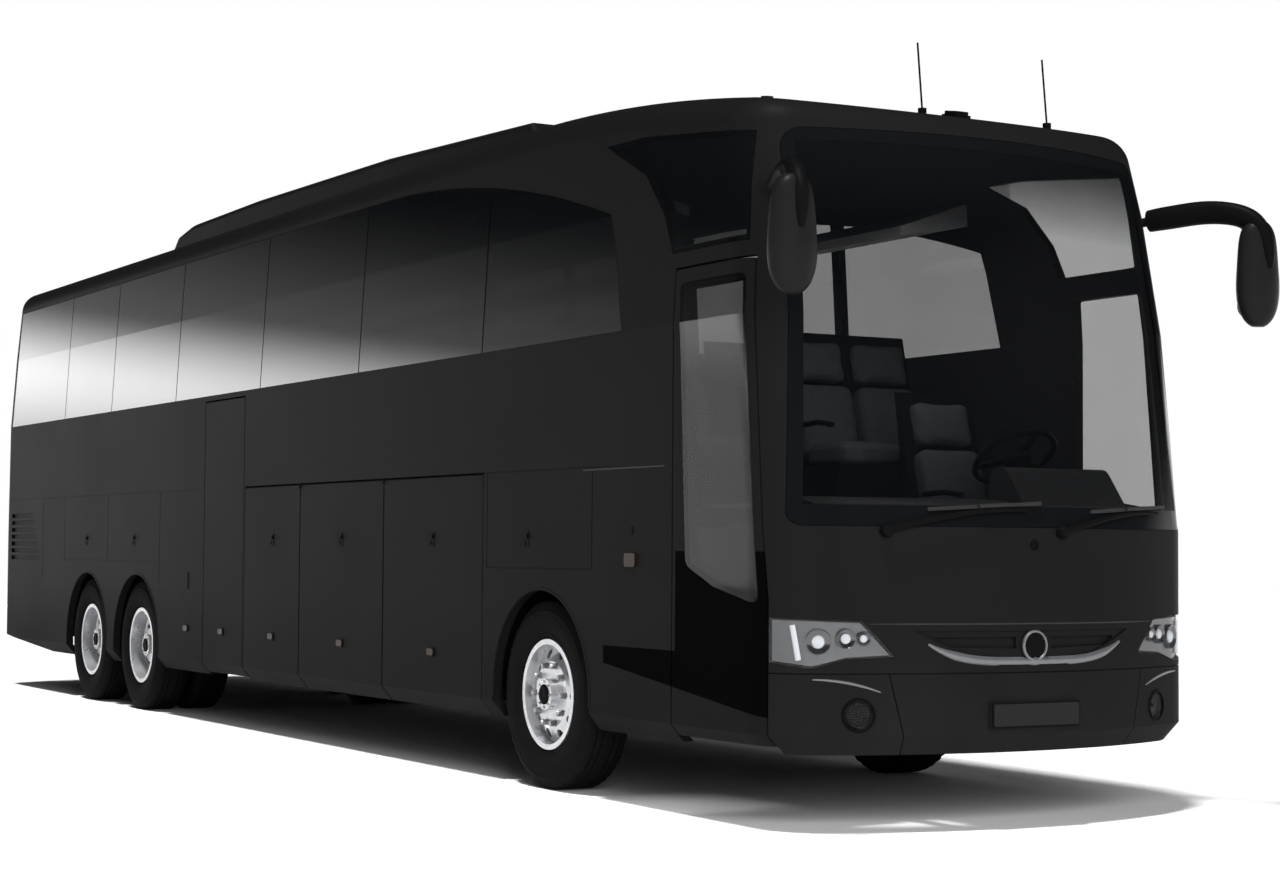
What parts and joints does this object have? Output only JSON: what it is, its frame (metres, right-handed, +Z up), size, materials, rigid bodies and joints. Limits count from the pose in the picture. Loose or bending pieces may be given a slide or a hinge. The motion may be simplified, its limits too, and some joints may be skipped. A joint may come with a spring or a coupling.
{
  "type": "coach bus",
  "caption": "Three-axle high-deck touring coach with wrap-round windscreen, glazed sides, swing-out doors, lift-up luggage flaps, steered front wheels and twin drive wheels.",
  "frame": {"origin": "centre of the overall box of body and mirrors, on the ground", "axes": "+X forward, +Y to the coach's left, +Z up"},
  "size_m": [14.077, 3.0551, 3.8899],
  "materials": {
    "body_paint": "satin black paint",
    "tinted_glass": "dark tinted glass",
    "lamp_lens": "clear lens",
    "red_lens": "red lens",
    "black_plastic": "matt black",
    "seat_cloth": "woven cloth",
    "floor_covering": "matt sheet",
    "chassis_steel": "black chassis paint",
    "tyre_rubber": "rubber",
    "polished_alloy": "polished"
  },
  "bodies": {
    "body": {"aerials": "black_plastic", "dashboard": "black_plastic", "drive_axle": "chassis_steel", "driver_seat": "seat_cloth", "engine_block": "chassis_steel", "front_axle": "chassis_steel", "front_bumper": "body_paint", "front_lamps": "lamp_lens", "front_mask": "body_paint", "hold_tub": "chassis_steel", "left_side_glass": "tinted_glass", "left_wall": "body_paint", "luggage_racks": "black_plastic", "mirrors": "black_plastic", "passenger_floor": "floor_covering", "passenger_seats": "seat_cloth", "rear_bumper": "body_paint", "rear_glass": "tinted_glass", "rear_wall": "body_paint", "right_side_glass": "tinted_glass", "right_wall": "body_paint", "roof_housing": "body_paint", "roof_panel": "body_paint", "tag_axle": "chassis_steel", "tail_lamps": "red_lens", "underframe": "chassis_steel", "wheel_arch_liners": "black_plastic", "windscreen": "tinted_glass", "windscreen_frame": "body_paint", "wipers": "black_plastic"},
    "front_left_knuckle": {"front_left_knuckle": "chassis_steel"},
    "front_right_knuckle": {"front_right_knuckle": "chassis_steel"},
    "front_left_wheel": {"front_left_tyre": "tyre_rubber", "front_left_rim": "polished_alloy"},
    "front_right_wheel": {"front_right_tyre": "tyre_rubber", "front_right_rim": "polished_alloy"},
    "drive_left_wheels": {"drive_left_tyres": "tyre_rubber", "drive_left_rims": "polished_alloy"},
    "drive_right_wheels": {"drive_right_tyres": "tyre_rubber", "drive_right_rims": "polished_alloy"},
    "tag_left_wheel": {"tag_left_tyre": "tyre_rubber", "tag_left_rim": "polished_alloy"},
    "tag_right_wheel": {"tag_right_tyre": "tyre_rubber", "tag_right_rim": "polished_alloy"},
    "steering_wheel": {"steering_wheel": "black_plastic"},
    "front_door_arm": {"front_door_arm": "chassis_steel"},
    "front_door": {"front_door": "body_paint", "front_door_glass": "tinted_glass"},
    "middle_door_arm": {"middle_door_arm": "chassis_steel"},
    "middle_door": {"middle_door": "body_paint"},
    "engine_lid": {"engine_lid": "body_paint"},
    "right_flap_rear": {"right_flap_rear": "body_paint"},
    "right_flap_middle": {"right_flap_middle": "body_paint"},
    "right_flap_front": {"right_flap_front": "body_paint"},
    "left_flap_rear": {"left_flap_rear": "body_paint"},
    "left_flap_middle": {"left_flap_middle": "body_paint"},
    "left_flap_front": {"left_flap_front": "body_paint"}
  },
  "joints": [
    {"name": "left_steer", "type": "hinge", "parent": "body", "child": "front_left_knuckle", "pos_m": [4.27, 0.95, 0.515], "axis": [0, 0, 1], "range_deg": [-46, 46]},
    {"name": "right_steer", "type": "hinge", "parent": "body", "child": "front_right_knuckle", "pos_m": [4.27, -0.95, 0.515], "axis": [0, 0, 1], "range_deg": [-46, 46]},
    {"name": "front_left_spin", "type": "hinge", "parent": "front_left_knuckle", "child": "front_left_wheel", "pos_m": [4.27, 1.1, 0.515], "axis": [0, 1, 0], "continuous": true},
    {"name": "front_right_spin", "type": "hinge", "parent": "front_right_knuckle", "child": "front_right_wheel", "pos_m": [4.27, -1.1, 0.515], "axis": [0, 1, 0], "continuous": true},
    {"name": "drive_left_spin", "type": "hinge", "parent": "body", "child": "drive_left_wheels", "pos_m": [-2.81, 1.1, 0.515], "axis": [0, 1, 0], "continuous": true},
    {"name": "tag_left_spin", "type": "hinge", "parent": "body", "child": "tag_left_wheel", "pos_m": [-4.16, 1.1, 0.515], "axis": [0, 1, 0], "continuous": true},
    {"name": "drive_right_spin", "type": "hinge", "parent": "body", "child": "drive_right_wheels", "pos_m": [-2.81, -1.1, 0.515], "axis": [0, 1, 0], "continuous": true},
    {"name": "tag_right_spin", "type": "hinge", "parent": "body", "child": "tag_right_wheel", "pos_m": [-4.16, -1.1, 0.515], "axis": [0, 1, 0], "continuous": true},
    {"name": "steering_wheel_turn", "type": "hinge", "parent": "body", "child": "steering_wheel", "pos_m": [6.18, 0.62, 1.53], "axis": [-0.5736, 0, 0.8192], "range_deg": [-828, 828]},
    {"name": "front_door_swing", "type": "hinge", "parent": "body", "child": "front_door_arm", "pos_m": [6.28, -1.085, 1.2], "axis": [0, 0, 1], "range_deg": [0, 130]},
    {"name": "front_door_keep", "type": "hinge", "parent": "front_door_arm", "child": "front_door", "pos_m": [5.85, -1.085, 1.2], "axis": [0, 0, -1], "range_deg": [0, 130]},
    {"name": "middle_door_swing", "type": "hinge", "parent": "body", "child": "middle_door_arm", "pos_m": [-0.55, -1.085, 1.2], "axis": [0, 0, 1], "range_deg": [0, 130]},
    {"name": "middle_door_keep", "type": "hinge", "parent": "middle_door_arm", "child": "middle_door", "pos_m": [-0.98, -1.085, 1.2], "axis": [0, 0, -1], "range_deg": [0, 130]},
    {"name": "right_flap_rear_lift", "type": "hinge", "parent": "body", "child": "right_flap_rear", "pos_m": [0.2015, -1.26, 1.72], "axis": [1, 0, 0], "range_deg": [-80, 0]},
    {"name": "right_flap_middle_lift", "type": "hinge", "parent": "body", "child": "right_flap_middle", "pos_m": [1.4365, -1.26, 1.72], "axis": [1, 0, 0], "range_deg": [-80, 0]},
    {"name": "right_flap_front_lift", "type": "hinge", "parent": "body", "child": "right_flap_front", "pos_m": [2.85, -1.26, 1.72], "axis": [1, 0, 0], "range_deg": [-80, 0]},
    {"name": "left_flap_rear_lift", "type": "hinge", "parent": "body", "child": "left_flap_rear", "pos_m": [-0.2335, 1.26, 1.72], "axis": [-1, 0, 0], "range_deg": [-80, 0]},
    {"name": "left_flap_middle_lift", "type": "hinge", "parent": "body", "child": "left_flap_middle", "pos_m": [1.4365, 1.26, 1.72], "axis": [-1, 0, 0], "range_deg": [-80, 0]},
    {"name": "left_flap_front_lift", "type": "hinge", "parent": "body", "child": "left_flap_front", "pos_m": [2.85, 1.26, 1.72], "axis": [-1, 0, 0], "range_deg": [-80, 0]},
    {"name": "engine_lid_lift", "type": "hinge", "parent": "body", "child": "engine_lid", "pos_m": [-7.028, 0, 1.954], "axis": [0, -1, 0], "range_deg": [-75, 0]}
  ],
  "couplings": [
    {"joint": "right_steer", "follows": "left_steer", "ratio": 1},
    {"joint": "steering_wheel_turn", "follows": "left_steer", "ratio": 18},
    {"joint": "front_door_keep", "follows": "front_door_swing", "ratio": 1},
    {"joint": "middle_door_keep", "follows": "middle_door_swing", "ratio": 1}
  ]
}
